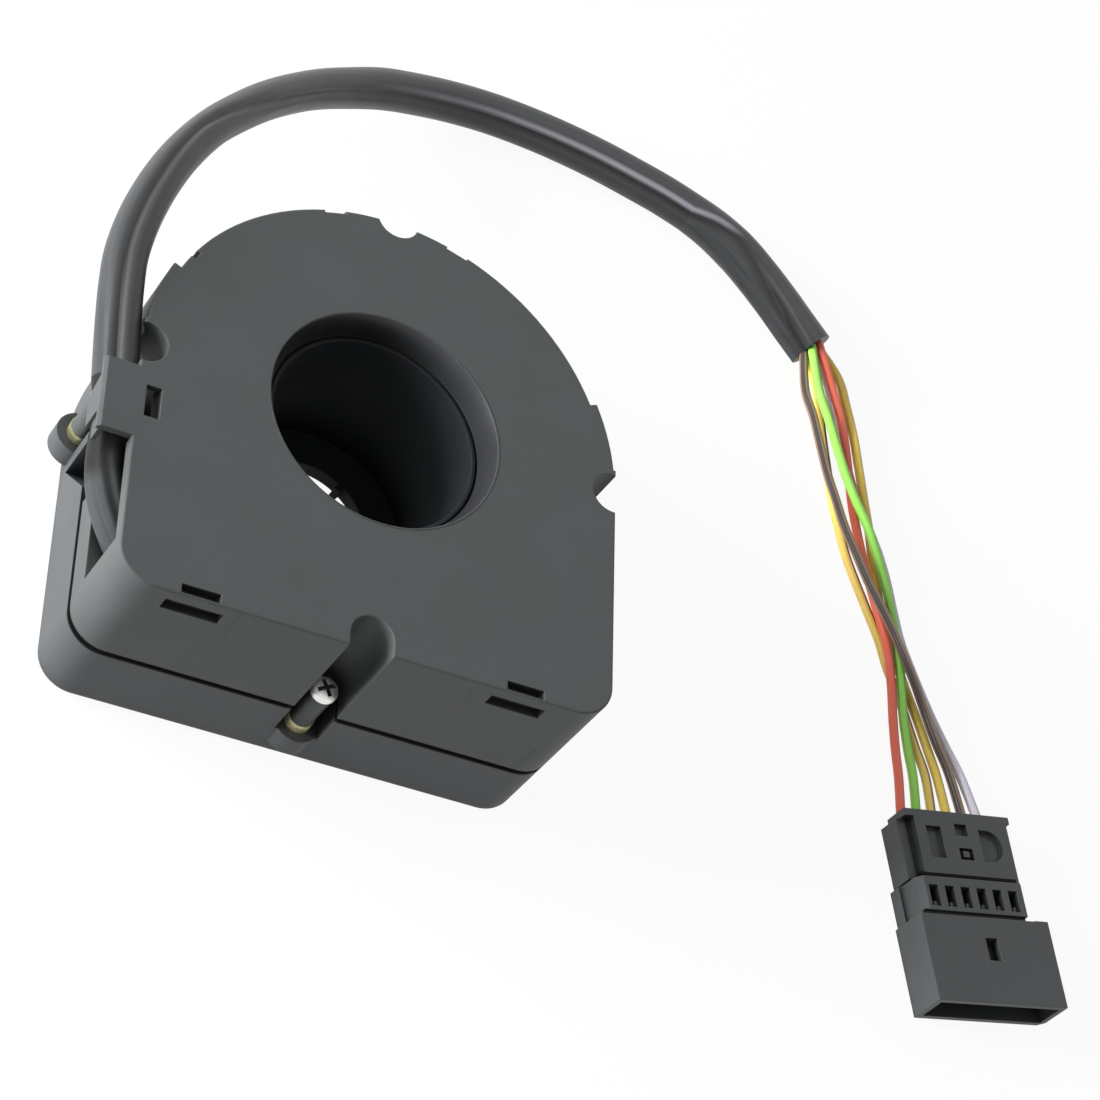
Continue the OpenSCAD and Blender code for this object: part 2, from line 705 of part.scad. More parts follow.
// Ring board with the resistance tracks, above the rotor disc
module track_board() {
    color([0.75, 0.6, 0.3]) difference() {
        translate([0, 0, track_z]) cylinder(r = track_out_r, h = track_t);
        translate([0, 0, track_z - cut]) cylinder(r = track_in_r, h = track_t + 2 * cut);
        channel_keep(channel_wall + slide_gap, 0, body_h);
    }
}

// A block that stands on the main board
module chip(x, y, w, d, h) { translate([x - w / 2, y - d / 2, board_top]) cube([w, d, h]); }

module microcontroller() { color([0.1, 0.1, 0.1]) chip(14, -26.6, 7, 5, 1.6); }
module bus_transceiver() { color([0.1, 0.1, 0.1]) chip(-8.6, -26.6, 3.4, 5, 1.5); }
module voltage_regulator() { color([0.12, 0.12, 0.12]) chip(24.4, -13, 5, 6, 1.8); }
module crystal() { color([0.8, 0.8, 0.78]) chip(22.4, -24.6, 3.2, 5, 1.2); }

module chip_capacitors() {
    color([0.7, 0.6, 0.45]) for (p = capacitor_places) chip(p[0], p[1], 1.3, 2, 1.2);
}

// Pins that join the main board to the ring board
module board_link_pins() {
    color([0.85, 0.75, 0.45]) for (a = pin_angles) rotate([0, 0, a])
        translate([pin_circle_r, 0, board_top]) cylinder(r = pin_r, h = track_z - board_top, $fn = 24);
}

// Block on the main board where the cable's wires are joined
module wire_header() {
    top = inner_route[len(inner_route) - 1][2] + jacket_r;
    color([0.85, 0.85, 0.8]) chip(-15.2, -27.5, 7.6, 5, top - board_top);
}

module cable_inner_run() {
    color([0.1, 0.1, 0.1]) swept_tube(inner_route, jacket_r, 12, -exit_heading, [1, 0, 0]);
}

module cable_jacket() {
    color([0.1, 0.1, 0.1])
        swept_tube(jacket_route, jacket_r, 12, exit_heading, sleeve_in_heading);
}

module end_sleeve() {
    color([0.08, 0.08, 0.08])
        swept_tube(sleeve_route, sleeve_r, 12, sleeve_in_heading, sleeve_out_heading);
}

module wire(route) {
    swept_tube(every_second(route), wire_r, 8, sleeve_out_heading, plug_heading);
}

module wire_red() { color([0.85, 0.25, 0.2]) wire(red_route); }
module wire_green() { color([0.4, 0.75, 0.25]) wire(green_route); }
module wire_yellow_black() { color([0.85, 0.75, 0.2]) wire(yellow_black_route); }
module wire_yellow_brown() { color([0.85, 0.7, 0.25]) wire(yellow_brown_route); }
module wire_brown() { color([0.45, 0.33, 0.25]) wire(brown_route); }
module wire_white_violet() { color([0.85, 0.8, 0.9]) wire(white_violet_route); }

// Connector frame: u across, v from the mouth to the wires, z up
module at_plug() { translate([plug_x, plug_y, 0]) rotate([0, 0, plug_yaw]) children(); }
module at_contacts() { for (i = [0 : 5]) translate([contact_u(i), 0, 0]) children(); }

// The channels that the contacts lie in, from v0 on
module contact_channels(v0) {
    at_contacts() translate([-contact_channel / 2, v0, contact_z - contact_channel / 2])
        cube([contact_channel, plug_end_v, contact_channel]);
}

module connector_housing() {
    bevel = 1.2;
    color([0.22, 0.23, 0.24]) at_plug() difference() {
        union() {
            translate([shroud_u, 0, 0]) cube([shroud_w, shroud_l, shroud_h]);
            translate([mid_u, shroud_l - cut, 0]) cube([mid_w, middle_l + cut, shroud_h]);
            // low side rails of the middle part
            translate([mid_u - mid_rail, shroud_l - cut, 0])
                cube([mid_w + 2 * mid_rail, middle_l + cut, mid_rail_h]);
        }
        // mouth
        translate([shroud_u + shroud_wall, -cut, shroud_wall])
            cube([shroud_w - 2 * shroud_wall, mouth_l + cut, shroud_h - 2 * shroud_wall]);
        // bevelled lower right corner of the mouth
        translate([shroud_u + shroud_w, -cut, 0]) rotate([0, 45, 0])
            translate([-bevel / 2, 0, -bevel]) cube([bevel, bevel * 2, bevel * 2]);
        // lock window
        translate([lock_u, lock_v, shroud_h - 2 * shroud_wall]) cube([lock_w, lock_l, shroud_h]);
        // groove between the middle part and the shroud
        translate([mid_u - 1, shroud_l - cut, shroud_h - mid_groove_l])
            cube([mid_w + 2, mid_groove_l, shroud_h]);
        // windows over the contacts
        at_contacts() translate([-lance_window_w / 2, shroud_l + lance_window_v, contact_z])
            cube([lance_window_w, lance_window_l, shroud_h]);
        // bevel along the left top edge
        translate([mid_u, shroud_l + mid_groove_l, shroud_h]) rotate([0, 45, 0])
            translate([-bevel / 2, 0, -bevel / 2]) cube([bevel, middle_l + 1, bevel]);
        contact_channels(mouth_l - cut);
    }
}

// Block inside the mouth with one channel for each contact
module contact_carrier() {
    inset = shroud_wall + carrier_side;
    color([0.16, 0.16, 0.17]) at_plug() difference() {
        translate([shroud_u + inset, carrier_v, carrier_z])
            cube([shroud_w - 2 * inset, mouth_l - carrier_v, carrier_h]);
        contact_channels(carrier_v - cut);
    }
}

// Box contacts, open at the front
module contacts() {
    front = carrier_v + 0.8;
    color([0.8, 0.76, 0.6]) at_plug() at_contacts() difference() {
        translate([-contact_w / 2, front, contact_z - contact_w / 2])
            cube([contact_w, contact_l, contact_w]);
        translate([-contact_w / 4, front - cut, contact_z - contact_w / 4])
            cube([contact_w / 2, contact_l / 2, contact_w / 2]);
    }
}

// Recesses in the rear cover's top: a long one, two square ones and a round-ended one
module rear_recesses() {
    floor_z = rear_h - recess_d;
    translate([-4.7, recess_v, floor_z]) cube([2.4, recess_long, shroud_h]);
    translate([0, recess_v + 3.5, floor_z]) cube([2, recess_short, shroud_h]);
    difference() {
        translate([0, recess_v, floor_z]) cube([2.2, recess_short, shroud_h]);
        translate([0.6, recess_v + 0.4, 0]) cube([0.9, recess_short / 2, rear_h]);
    }
    translate([3.8, recess_v, floor_z]) {
        cube([1.4, recess_long, shroud_h]);
        intersection() {
            translate([1.2, recess_long / 2, 0]) cylinder(r = recess_long / 2, h = shroud_h);
            cube([recess_long, recess_long, shroud_h]);
        }
    }
}

module connector_rear_cover() {
    inner_u = rear_u + flank_w;
    color([0.22, 0.23, 0.24]) at_plug() difference() {
        union() {
            translate([inner_u, rear_v, 0]) cube([rear_w - flank_w, rear_l, rear_h]);
            translate([rear_u, rear_v, 0]) cube([flank_w + cut, rear_l - flange_t, rear_h - flank_drop]);
            // flange over the wires
            translate([rear_u + flange_over, plug_end_v - flange_t, flange_z])
                cube([rear_w, flange_t, rear_h - flange_z]);
            // tongue that seats on the middle part
            translate([mid_u + flank_w, shroud_l + middle_l, flange_over])
                cube([mid_w - 2 * flank_w, rear_gap + cut, 3]);
        }
        // dark groove beside the left flank
        translate([inner_u, rear_v - cut, rear_h - 2 * recess_d])
            cube([flange_over, rear_l - flange_t + cut, rear_h]);
        rear_recesses();
    }
}

base_housing();
front_cover();
housing_screws();
threaded_inserts();
rotor_hub();
rotor_disc();
wiper_a();
wiper_b();
main_board();
track_board();
microcontroller();
bus_transceiver();
voltage_regulator();
crystal();
chip_capacitors();
board_link_pins();
wire_header();
cable_inner_run();
cable_jacket();
end_sleeve();
wire_red();
wire_green();
wire_yellow_black();
wire_yellow_brown();
wire_brown();
wire_white_violet();
connector_housing();
contact_carrier();
contacts();
connector_rear_cover();
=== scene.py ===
import math

import bmesh
import bpy
from mathutils import Matrix, Vector


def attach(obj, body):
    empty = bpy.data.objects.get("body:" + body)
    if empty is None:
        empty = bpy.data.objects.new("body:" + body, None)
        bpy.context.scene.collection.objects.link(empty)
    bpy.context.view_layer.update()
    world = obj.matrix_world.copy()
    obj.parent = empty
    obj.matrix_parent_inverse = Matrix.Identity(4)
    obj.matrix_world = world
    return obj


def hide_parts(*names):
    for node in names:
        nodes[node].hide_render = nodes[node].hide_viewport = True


# Steering angle sensor: its looks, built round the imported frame.
# Metres; the origin is on the rotor axis in the plane of the housing's back face.

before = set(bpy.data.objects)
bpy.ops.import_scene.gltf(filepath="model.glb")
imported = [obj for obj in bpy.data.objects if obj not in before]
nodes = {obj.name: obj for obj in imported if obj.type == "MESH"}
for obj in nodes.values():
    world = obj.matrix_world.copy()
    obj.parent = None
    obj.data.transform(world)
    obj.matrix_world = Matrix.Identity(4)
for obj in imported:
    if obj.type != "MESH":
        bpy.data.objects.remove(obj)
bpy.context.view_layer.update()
MM = 0.001

# The housing's driving sizes, as in the frame
BOTTOM_Y = -33 * MM
FACE_Z = 27 * MM
SEAM_LOW_Z = 10.4 * MM
SEAM_HIGH_Z = 11.6 * MM
SCREW_CIRCLE_R = 31.1 * MM
HEAD_TOP_Z = 14.4 * MM
INSERT_TOP_Z = 7.2 * MM
LIP_R = 15.1 * MM
LIP_THROAT_R = 14.1 * MM
LIP_DEPTH = 3.15 * MM
CHANNEL_CLEAR = 3.2 * MM

# The cable's sizes
JACKET_R = 2.8 * MM
WIRE_R = 0.65 * MM

# The connector's frame: u across, v from the mouth to the wires, z up
PLUG_CORNER = Vector((99.9 * MM, -43.3 * MM, 0))
PLUG_YAW = math.radians(11)
PLUG_MATRIX = Matrix.Translation(PLUG_CORNER) @ Matrix.Rotation(PLUG_YAW, 4, "Z")
CONTACT_PITCH = 2.54 * MM
CONTACT_MID_U = -0.1 * MM
PLUG_END_V = 27.8 * MM
CONTACT_Z = 2.4 * MM
WINDOW_V = 13.3 * MM
REAR_V = 18 * MM
REAR_TOP_Z = 4.9 * MM

# Light: the soft room, the lamp on the left and the lamp above
SOFT_LIGHT = 0.27
LEFT_PLACE = (-0.8, 0.05, 0.13)
LEFT_WATTS = 29
GLOSS_PLACE = (-0.65, 0.05, 0.42)
GLOSS_WATTS = 2.2
TOP_WATTS = 0.7


# Camera, at the photograph's place
def place_camera():
    data = bpy.data.cameras.new("camera")
    data.sensor_width = 36
    data.lens = 111.7
    data.clip_end = 10
    camera = bpy.data.objects.new("camera", data)
    bpy.context.scene.collection.objects.link(camera)
    right = Vector((0.8836, 0.0229, 0.4677)).normalized()
    up = Vector((-0.28, 0.8265, 0.4885)).normalized()
    back = right.cross(up).normalized()
    turn = Matrix((right, up, back)).transposed()
    camera.matrix_world = Matrix.Translation(Vector((-132.2, -243.3, 330.7)) * MM) @ turn.to_4x4()
    bpy.context.scene.camera = camera


place_camera()


# Small helpers for meshes
def link_object(name, mesh):
    piece = bpy.data.objects.new(name, mesh)
    bpy.context.scene.collection.objects.link(piece)
    return piece


def finish_piece(name, bm, material, body="housing", angle=35):
    """Turns a bmesh into a piece with smooth faces and sharp edges past an angle."""
    bmesh.ops.remove_doubles(bm, verts=bm.verts, dist=1e-7)
    bmesh.ops.recalc_face_normals(bm, faces=bm.faces)
    limit = math.radians(angle)
    for face in bm.faces:
        face.smooth = True
    for edge in bm.edges:
        edge.smooth = len(edge.link_faces) == 2 and edge.calc_face_angle(0) < limit
    mesh = bpy.data.meshes.new(name)
    bm.to_mesh(mesh)
    bm.free()
    mesh.materials.append(material)
    piece = link_object(name, mesh)
    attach(piece, body)
    return piece


# Smooth line through a route's points
def smooth_line(points, step):
    line = []
    last = len(points) - 1
    for i in range(last):
        p0, p1, p2, p3 = (points[max(i - 1, 0)], points[i], points[i + 1], points[min(i + 2, last)])
        count = max(2, round((p2 - p1).length / step))
        for k in range(count):
            t = k / count
            line.append(0.5 * (2 * p1 + (p2 - p0) * t + (2 * p0 - 5 * p1 + 4 * p2 - p3) * t * t
                               + (3 * p1 - p0 - 3 * p2 + p3) * t ** 3))
    line.append(points[last].copy())
    return line


def to_metres(route):
    return [Vector(p) * MM for p in route]


def line_length(line):
    return sum((b - a).length for a, b in zip(line, line[1:]))


def route_frame(line, i, first=None, last=None):
    """Matrix whose X is to the side of the route, Y is up and Z is along it."""
    along = (line[min(i + 1, len(line) - 1)] - line[max(i - 1, 0)]).normalized()
    if i == 0 and first is not None:
        along = Vector(first).normalized()
    if i == len(line) - 1 and last is not None:
        along = Vector(last).normalized()
    side = along.cross(Vector((0, 0, 1))).normalized()
    up = side.cross(along)
    turn = Matrix((side, up, along)).transposed().to_4x4()
    return Matrix.Translation(line[i]) @ turn


def sweep(line, section, sides, first=None, last=None, done_before=0.0):
    """A tube along a line. section(share of the way, angle) gives its radii to the side and up,
    how much painted shade it takes (in its crease, and under the clip), and how much painted
    highlight. Attributes for materials: way, metres along it, turn_c and turn_s round it, and
    the painted shade and painted highlight."""
    bm = bmesh.new()
    painted_shade = bm.verts.layers.float.new("painted_shade")
    painted_highlight = bm.verts.layers.float.new("painted_highlight")
    place_round = bm.verts.layers.int.new("place_round")
    way = bm.verts.layers.float.new("way")
    turn_c = bm.verts.layers.float.new("turn_c")
    turn_s = bm.verts.layers.float.new("turn_s")
    ring = bmesh.ops.create_circle(bm, cap_ends=False, segments=sides, radius=1)["verts"]
    for k, vert in enumerate(ring):
        vert[place_round] = k
    start_edges = list(bm.edges)
    edges = start_edges
    done = 0.0
    total = line_length(line)
    for i in range(len(line)):
        if i > 0:
            done += (line[i] - line[i - 1]).length
            made = bmesh.ops.extrude_edge_only(bm, edges=edges)["geom"]
            ring = [g for g in made if isinstance(g, bmesh.types.BMVert)]
            edges = [g for g in made if isinstance(g, bmesh.types.BMEdge)]
            edges = [e for e in edges if e.verts[0] in ring and e.verts[1] in ring]
        place = route_frame(line, i, first, last)
        for vert in ring:
            angle = math.tau * vert[place_round] / sides
            wide, high, depth, highlight = section(done / total, angle)
            vert.co = place @ Vector((math.cos(angle) * wide, math.sin(angle) * high, 0))
            vert[painted_shade] = depth
            vert[painted_highlight] = highlight
            vert[way] = done + done_before
            vert[turn_c] = math.cos(angle)
            vert[turn_s] = math.sin(angle)
    bmesh.ops.edgeloop_fill(bm, edges=start_edges)
    bmesh.ops.edgeloop_fill(bm, edges=edges)
    return bm


# Materials. Helpers that add nodes
def new_material(name, colour, roughness, **sockets):
    material = bpy.data.materials.new(name)
    material.use_nodes = True
    shader = material.node_tree.nodes["Principled BSDF"]
    shader.inputs["Base Color"].default_value = (*colour, 1)
    shader.inputs["Roughness"].default_value = roughness
    for socket, value in sockets.items():
        shader.inputs[socket.replace("_", " ").title()].default_value = value
    return material, material.node_tree, shader


def add(tree, kind, **values):
    """A node of that kind; values are settings, or inputs by name with spaces as underscores."""
    made = tree.nodes.new("ShaderNode" + kind)
    for key, value in values.items():
        if hasattr(made, key):
            setattr(made, key, value)
        else:
            made.inputs[key.replace("_", " ")].default_value = value
    return made


def object_noise(tree, scale, detail=2.0, roughness=0.5):
    """Noise on Object coordinates; scale is in turns a metre."""
    place = add(tree, "TexCoord")
    noise = add(tree, "TexNoise", Scale=scale, Detail=detail, Roughness=roughness)
    tree.links.new(place.outputs["Object"], noise.inputs["Vector"])
    return noise.outputs["Fac"]


def ramp(tree, value, low, high, out_low=0.0, out_high=1.0):
    """Remaps a value, clamped."""
    made = add(tree, "MapRange")
    tree.links.new(value, made.inputs["Value"])
    for name, number in (("From Min", low), ("From Max", high), ("To Min", out_low), ("To Max", out_high)):
        made.inputs[name].default_value = number
    return made.outputs["Result"]


def maths(tree, operation, a, b=None):
    made = add(tree, "Math", operation=operation)
    for socket, value in zip(made.inputs, (a, b)):
        if value is None:
            continue
        if isinstance(value, (int, float)):
            socket.default_value = value
        else:
            tree.links.new(value, socket)
    return made.outputs["Value"]


def mix_colour(tree, share, a, b):
    """Mixes two colours; each is a socket or three numbers."""
    made = add(tree, "Mix", data_type="RGBA")
    tree.links.new(share, made.inputs["Factor"])
    for socket, value in ((made.inputs[6], a), (made.inputs[7], b)):
        if isinstance(value, tuple):
            socket.default_value = (*value, 1)
        else:
            tree.links.new(value, socket)
    return made.outputs[2]


def seam_painted_shade(tree, colour):
    """Paints shade into the gap between the housing's halves, clear of the screw channels: the tongue seen there
    turns near black.
    """
    blur = 0.06 * MM
    place = add(tree, "TexCoord")
    split = add(tree, "SeparateXYZ")
    tree.links.new(place.outputs["Object"], split.inputs["Vector"])
    height = split.outputs["Z"]
    inside = maths(tree, "MULTIPLY", ramp(tree, height, SEAM_LOW_Z, SEAM_LOW_Z + blur),
                   ramp(tree, height, SEAM_HIGH_Z, SEAM_HIGH_Z - blur))
    for axis in ("X", "Y"):
        away = maths(tree, "ABSOLUTE", split.outputs[axis])
        inside = maths(tree, "MULTIPLY", inside, ramp(tree, away, CHANNEL_CLEAR, CHANNEL_CLEAR + blur))
    # Near black: painted shade in the gap
    return mix_colour(tree, inside, colour, (0.003, 0.003, 0.003))


# Shared effect: soft edges and a mask of them, from the Bevel node
def make_edge_group():
    group = bpy.data.node_groups.new("edge softness", "ShaderNodeTree")
    group.interface.new_socket("Radius", in_out="INPUT", socket_type="NodeSocketFloat")
    group.interface.new_socket("Normal", in_out="OUTPUT", socket_type="NodeSocketVector")
    group.interface.new_socket("Edge", in_out="OUTPUT", socket_type="NodeSocketFloat")
    given = group.nodes.new("NodeGroupInput")
    result = group.nodes.new("NodeGroupOutput")
    bevel = add(group, "Bevel", samples=6)
    geometry = add(group, "NewGeometry")
    dot = add(group, "VectorMath", operation="DOT_PRODUCT")
    group.links.new(given.outputs["Radius"], bevel.inputs["Radius"])
    group.links.new(bevel.outputs["Normal"], dot.inputs[0])
    group.links.new(geometry.outputs["Normal"], dot.inputs[1])
    group.links.new(bevel.outputs["Normal"], result.inputs["Normal"])
    group.links.new(ramp(group, dot.outputs["Value"], 0.995, 0.80), result.inputs["Edge"])
    return group


# Shared effect: the fine grain of a moulding and broad, faint unevenness
def make_grain_group():
    group = bpy.data.node_groups.new("moulded grain", "ShaderNodeTree")
    group.interface.new_socket("Grain", in_out="OUTPUT", socket_type="NodeSocketFloat")
    group.interface.new_socket("Broad", in_out="OUTPUT", socket_type="NodeSocketFloat")
    result = group.nodes.new("NodeGroupOutput")
    fine = object_noise(group, 4200, detail=3)
    coarse = object_noise(group, 900, detail=2)
    broad = object_noise(group, 70, detail=4, roughness=0.6)
    both = maths(group, "ADD", maths(group, "MULTIPLY", fine, 0.7), maths(group, "MULTIPLY", coarse, 0.3))
    group.links.new(both, result.inputs["Grain"])
    group.links.new(broad, result.inputs["Broad"])
    return group


# Shared effect: 1 deep inside hollows, for painted shade there
def make_hollow_group():
    group = bpy.data.node_groups.new("hollow shade", "ShaderNodeTree")
    group.interface.new_socket("Reach", in_out="INPUT", socket_type="NodeSocketFloat")
    group.interface.new_socket("Hollow", in_out="OUTPUT", socket_type="NodeSocketFloat")
    given = group.nodes.new("NodeGroupInput")
    result = group.nodes.new("NodeGroupOutput")
    open_share = add(group, "AmbientOcclusion", samples=8)
    group.links.new(given.outputs["Reach"], open_share.inputs["Distance"])
    group.links.new(ramp(group, open_share.outputs["AO"], 0.72, 0.3), result.inputs["Hollow"])
    return group


EDGE_GROUP = make_edge_group()
HOLLOW_GROUP = make_hollow_group()
GRAIN_GROUP = make_grain_group()


def use_group(tree, group):
    made = tree.nodes.new("ShaderNodeGroup")
    made.node_tree = group
    return made


def paint_hollow_shade(tree, tone, colour, reach):
    """Paints shade into hollows: takes a tone down to a dark shade of the colour there."""
    hollow = use_group(tree, HOLLOW_GROUP)
    hollow.inputs["Reach"].default_value = reach
    share = maths(tree, "MULTIPLY", hollow.outputs["Hollow"], 0.9)
    return mix_colour(tree, share, tone, tuple(c * 0.15 for c in colour))


def moulded_plastic(name, colour, roughness, speckle_and_edge_highlight, edge_radius=0.22 * MM, bump=0.25, gloss=0.4,
                    seam_shade=False, hollow_reach=0.0):
    """Moulded plastic: fine grain, faint unevenness, and edges with a painted highlight."""
    material, tree, shader = new_material(name, colour, roughness)
    shader.inputs["Specular IOR Level"].default_value = gloss
    grain = use_group(tree, GRAIN_GROUP)
    edge = use_group(tree, EDGE_GROUP)
    edge.inputs["Radius"].default_value = edge_radius
    dark = tuple(c * 0.86 for c in colour)
    light = tuple(c * 1.14 for c in colour)
    body = mix_colour(tree, ramp(tree, grain.outputs["Broad"], 0.3, 0.7), dark, light)
    speckled = mix_colour(tree, ramp(tree, grain.outputs["Grain"], 0.62, 0.8, 0, 0.35), body, speckle_and_edge_highlight)
    # Painted highlight along the edges; the same lighter colour tints the grain's speckles
    final = mix_colour(tree, maths(tree, "MULTIPLY", edge.outputs["Edge"], 0.5), speckled, speckle_and_edge_highlight)
    # Painted shade in the gap between the housing's halves
    if seam_shade:
        final = seam_painted_shade(tree, final)
    # Painted shade inside hollows
    if hollow_reach:
        final = paint_hollow_shade(tree, final, colour, hollow_reach)
    tree.links.new(final, shader.inputs["Base Color"])
    rough = ramp(tree, grain.outputs["Broad"], 0.3, 0.7, roughness - 0.05, roughness + 0.07)
    tree.links.new(rough, shader.inputs["Roughness"])
    lift = add(tree, "Bump", Strength=bump, Distance=0.03 * MM)
    tree.links.new(grain.outputs["Grain"], lift.inputs["Height"])
    tree.links.new(edge.outputs["Normal"], lift.inputs["Normal"])
    tree.links.new(lift.outputs["Normal"], shader.inputs["Normal"])
    return material


# Colour of the painted highlight along the ridge beside the crease
RIDGE_HIGHLIGHT_GREY = (0.32, 0.32, 0.36)


def jacket_rubber(name, colour, roughness, hollow_reach=0.0):
    """Satin cable sheath: faint lines along it, darker towards its far end, with an uneven gloss, painted shade in
    its crease and a painted highlight on the ridge beside it.
    """
    material, tree, shader = new_material(name, colour, roughness)
    shader.inputs["Specular IOR Level"].default_value = 0.5
    place = add(tree, "CombineXYZ")
    for socket, source, scale in (("X", "turn_c", 1.6), ("Y", "turn_s", 1.6), ("Z", "way", 14)):
        read = add(tree, "Attribute", attribute_name=source)
        tree.links.new(maths(tree, "MULTIPLY", read.outputs["Fac"], scale), place.inputs[socket])
    lines = add(tree, "TexNoise", Scale=4.0, Detail=4.0, Roughness=0.6)
    tree.links.new(place.outputs["Vector"], lines.inputs["Vector"])
    grain = use_group(tree, GRAIN_GROUP)
    tone = mix_colour(tree, ramp(tree, lines.outputs["Fac"], 0.35, 0.68), tuple(c * 0.75 for c in colour),
                      tuple(c * 1.3 for c in colour))
    run = add(tree, "Attribute", attribute_name="way").outputs["Fac"]
    tone = mix_colour(tree, ramp(tree, run, 90 * MM, 150 * MM, 0, 0.5), tone, tuple(c * 0.3 for c in colour))
    # Painted shade: near black in the crease and the fold, and under the clip's roof
    painted_shade = add(tree, "Attribute", attribute_name="painted_shade").outputs["Fac"]
    tone = mix_colour(tree, ramp(tree, painted_shade, 0.3, 0.9, 0, 0.9), tone, tuple(c * 0.1 for c in colour))
    # Painted highlight along the ridge beside the crease
    painted_highlight = add(tree, "Attribute", attribute_name="painted_highlight").outputs["Fac"]
    tone = mix_colour(tree, ramp(tree, painted_highlight, 0.1, 1, 0, 0.85), tone, RIDGE_HIGHLIGHT_GREY)
    # Painted shade inside hollows, such as under the clip's roof
    if hollow_reach:
        tone = paint_hollow_shade(tree, tone, colour, hollow_reach)
    tree.links.new(tone, shader.inputs["Base Color"])
    tree.links.new(ramp(tree, lines.outputs["Fac"], 0.3, 0.7, roughness - 0.06, roughness + 0.1),
                   shader.inputs["Roughness"])
    height = maths(tree, "ADD", maths(tree, "MULTIPLY", lines.outputs["Fac"], 0.8),
                   maths(tree, "MULTIPLY", grain.outputs["Grain"], 0.25))
    lift = add(tree, "Bump", Strength=0.35, Distance=0.12 * MM)
    tree.links.new(height, lift.inputs["Height"])
    tree.links.new(lift.outputs["Normal"], shader.inputs["Normal"])
    return material


def wire_insulation(name, colour, stripe=None, angle=90, half_width=30):
    """Wire insulation; stripe is a colour that runs along it at that angle from its side."""
    material, tree, shader = new_material(name, colour, 0.38)
    grain = use_group(tree, GRAIN_GROUP)
    paint = mix_colour(tree, ramp(tree, grain.outputs["Broad"], 0.25, 0.75),
                       tuple(c * 0.88 for c in colour), tuple(min(1, c * 1.08) for c in colour))
    if stripe:
        turn = math.radians(angle)
        read_c = add(tree, "Attribute", attribute_name="turn_c").outputs["Fac"]
        read_s = add(tree, "Attribute", attribute_name="turn_s").outputs["Fac"]
        towards = maths(tree, "ADD", maths(tree, "MULTIPLY", read_c, math.cos(turn)),
                        maths(tree, "MULTIPLY", read_s, math.sin(turn)))
        edge = math.cos(math.radians(half_width))
        mask = ramp(tree, towards, edge - 0.04, edge + 0.04)
        paint = mix_colour(tree, mask, paint, stripe)
    tree.links.new(paint, shader.inputs["Base Color"])
    lift = add(tree, "Bump", Strength=0.12, Distance=0.03 * MM)
    tree.links.new(grain.outputs["Grain"], lift.inputs["Height"])
    tree.links.new(lift.outputs["Normal"], shader.inputs["Normal"])
    return material


def metal(name, colour, roughness, scratch_scale=1500):
    """Plated metal with fine, uneven brightness."""
    material, tree, shader = new_material(name, colour, roughness, metallic=1.0)
    cloud = object_noise(tree, scratch_scale, detail=4, roughness=0.65)
    tone = mix_colour(tree, ramp(tree, cloud, 0.3, 0.7), tuple(c * 0.8 for c in colour), colour)
    tree.links.new(tone, shader.inputs["Base Color"])
    tree.links.new(ramp(tree, cloud, 0.3, 0.7, roughness - 0.06, roughness + 0.12), shader.inputs["Roughness"])
    edge = use_group(tree, EDGE_GROUP)
    edge.inputs["Radius"].default_value = 0.06 * MM
    lift = add(tree, "Bump", Strength=0.2, Distance=0.02 * MM)
    tree.links.new(cloud, lift.inputs["Height"])
    tree.links.new(edge.outputs["Normal"], lift.inputs["Normal"])
    tree.links.new(lift.outputs["Normal"], shader.inputs["Normal"])
    return material


# The housing's halves, the plug and the inner jacket take painted shade in their hollows (hollow_reach); the
# halves also take it in the gap between them
COVER_PLASTIC = moulded_plastic("cover plastic", (0.049, 0.0535, 0.054), 0.55, (0.12, 0.127, 0.13), seam_shade=True,
                                hollow_reach=5 * MM)
BASE_PLASTIC = moulded_plastic("base plastic", (0.047, 0.051, 0.054), 0.55, (0.11, 0.117, 0.12), seam_shade=True,
                               hollow_reach=5 * MM)
LIP_PLASTIC = moulded_plastic("lip plastic", (0.024, 0.025, 0.027), 0.3, (0.09, 0.092, 0.095), bump=0.1)
ROTOR_PLASTIC = moulded_plastic("rotor plastic", (0.016, 0.0185, 0.021), 0.6, (0.05, 0.05, 0.052), bump=0.1,
                                gloss=0.12)
# Near-black plastic for painted shade in a gap
PAINTED_GAP_SHADE = moulded_plastic("painted gap shade", (0.003, 0.003, 0.003), 0.7, (0.006, 0.006, 0.006), gloss=0.1)
PLUG_PLASTIC = moulded_plastic("plug plastic", (0.043, 0.047, 0.049), 0.46, (0.13, 0.136, 0.14), 0.14 * MM,
                               hollow_reach=2 * MM)
LANCE_PLASTIC = moulded_plastic("lance plastic", (0.12, 0.125, 0.13), 0.5, (0.2, 0.2, 0.2), 0.05 * MM)
CARRIER_PLASTIC = moulded_plastic("carrier plastic", (0.02, 0.021, 0.022), 0.5, (0.05, 0.05, 0.052), 0.1 * MM)
DISC_PLASTIC = moulded_plastic("disc plastic", (0.62, 0.6, 0.52), 0.5, (0.75, 0.73, 0.65))
CHIP_PLASTIC = moulded_plastic("chip plastic", (0.02, 0.02, 0.021), 0.55, (0.05, 0.05, 0.05), 0.08 * MM)
BOARD_LACQUER = moulded_plastic("board lacquer", (0.03, 0.16, 0.07), 0.35, (0.4, 0.35, 0.2), 0.05 * MM)
CAPACITOR_CERAMIC = moulded_plastic("capacitor ceramic", (0.5, 0.4, 0.27), 0.5, (0.7, 0.68, 0.64), 0.08 * MM)
SCREW_STEEL = metal("screw steel", (0.95, 0.95, 0.92), 0.48)
